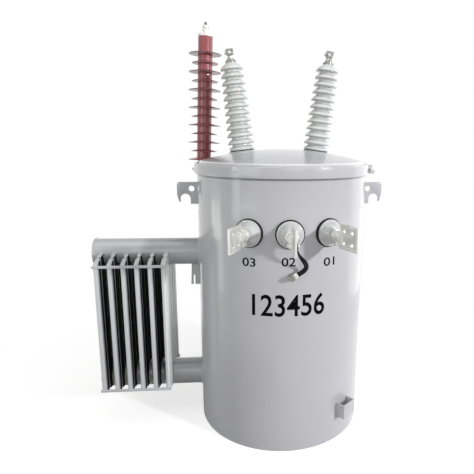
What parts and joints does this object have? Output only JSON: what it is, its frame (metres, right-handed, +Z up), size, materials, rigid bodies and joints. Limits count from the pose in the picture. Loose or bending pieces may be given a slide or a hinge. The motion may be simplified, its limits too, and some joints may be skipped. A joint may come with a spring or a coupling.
{
  "type": "pole mounted power transformer",
  "caption": "Single phase oil filled power transformer: round tank with clamped cover, side radiator, high voltage bushings, arrester and low voltage spade pads.",
  "frame": {"origin": "on the floor under the tank axis", "axes": "+Z up, -Y towards the low voltage side, -X towards the radiator, +Y towards the pole"},
  "size_m": [1.235, 0.927, 1.7388],
  "materials": {
    "paint": "smooth light grey enamel",
    "porcelain": "light grey glazed porcelain",
    "polymer": "brick red polymer",
    "tinned": "tin plated",
    "black_rubber": "black",
    "core_iron": "plain",
    "galvanised": "dull zinc"
  },
  "bodies": {
    "root": {"arrester_base": "galvanised", "arrester_bracket": "paint", "arrester_housing": "polymer", "arrester_terminal": "tinned", "core_and_coils": "core_iron", "cover": "paint", "cover_band_front": "paint", "cover_band_rear": "paint", "fin_1": "paint", "fin_2": "paint", "fin_3": "paint", "fin_4": "paint", "fin_5": "paint", "fin_6": "paint", "ground_boss": "tinned", "ground_strap": "black_rubber", "hanger_bracket_lower": "paint", "hanger_bracket_upper": "paint", "header_lower": "paint", "header_upper": "paint", "hv_boss_left": "paint", "hv_boss_right": "paint", "hv_bushing_left": "porcelain", "hv_bushing_right": "porcelain", "hv_terminal_left": "tinned", "hv_terminal_right": "tinned", "lifting_lug_left": "paint", "lifting_lug_right": "paint", "lower_channel_bracket": "paint", "lv_bushing_centre": "porcelain", "lv_bushing_left": "porcelain", "lv_bushing_right": "porcelain", "lv_gasket_centre": "black_rubber", "lv_gasket_left": "black_rubber", "lv_gasket_right": "black_rubber", "lv_pad_centre": "tinned", "lv_pad_left": "tinned", "lv_pad_right": "tinned", "slotted_side_bracket": "paint", "tank_base": "paint", "tank_wall": "paint", "tie_bar_lower_front": "paint", "tie_bar_lower_rear": "paint", "tie_bar_upper_front": "paint", "tie_bar_upper_rear": "paint"}
  },
  "joints": []
}
